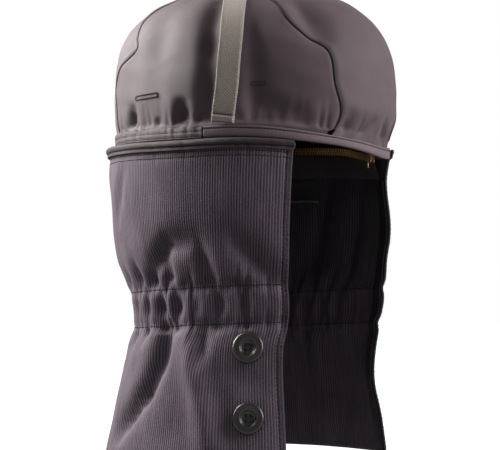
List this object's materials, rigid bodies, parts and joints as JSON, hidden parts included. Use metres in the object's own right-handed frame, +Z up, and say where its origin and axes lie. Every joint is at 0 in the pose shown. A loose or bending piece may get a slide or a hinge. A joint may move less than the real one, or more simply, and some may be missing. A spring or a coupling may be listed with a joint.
{
  "type": "hard hat winter liner",
  "caption": "Twill cap liner with a webbing strap over its crown and a ribbed neck curtain that zips to its rim, gathered at the neck, open at the face, with buttons on one flap",
  "frame": {"origin": "the inside of the crown's top, where the cap sits on the head", "axes": "+Z up, the wearer faces -Y, the wearer's right is -X"},
  "size_m": [0.1748, 0.2135, 0.3207],
  "materials": {
    "twill": "dark grey cotton twill with a faint sheen",
    "ribbed_cloth": "dark grey cloth with fine upright ribs on both faces",
    "black_trim": "black corded piping and sewing thread",
    "webbing": "olive grey woven webbing",
    "zip_tape": "matt dark brown woven zip tape",
    "zip_brass": "dulled brass",
    "label_cloth": "plain smooth dark label cloth",
    "button_plastic": "olive black plastic with a soft gloss"
  },
  "bodies": {
    "root": {"crown_panel_centre": "twill", "crown_panel_right": "twill", "crown_panel_left": "twill", "seam_piping_right": "black_trim", "seam_piping_left": "black_trim", "crown_strap": "webbing", "rim_band_front": "twill", "rim_hem_back": "twill", "zip_tape_upper": "zip_tape", "zip_chain": "zip_brass", "zip_tape_lower": "zip_tape", "zip_slider": "zip_brass", "neck_curtain": "ribbed_cloth", "curtain_binding": "twill", "front_facing_right": "ribbed_cloth", "front_facing_left": "ribbed_cloth", "inner_label": "label_cloth", "button_upper": "button_plastic", "button_lower": "button_plastic"}
  },
  "joints": []
}
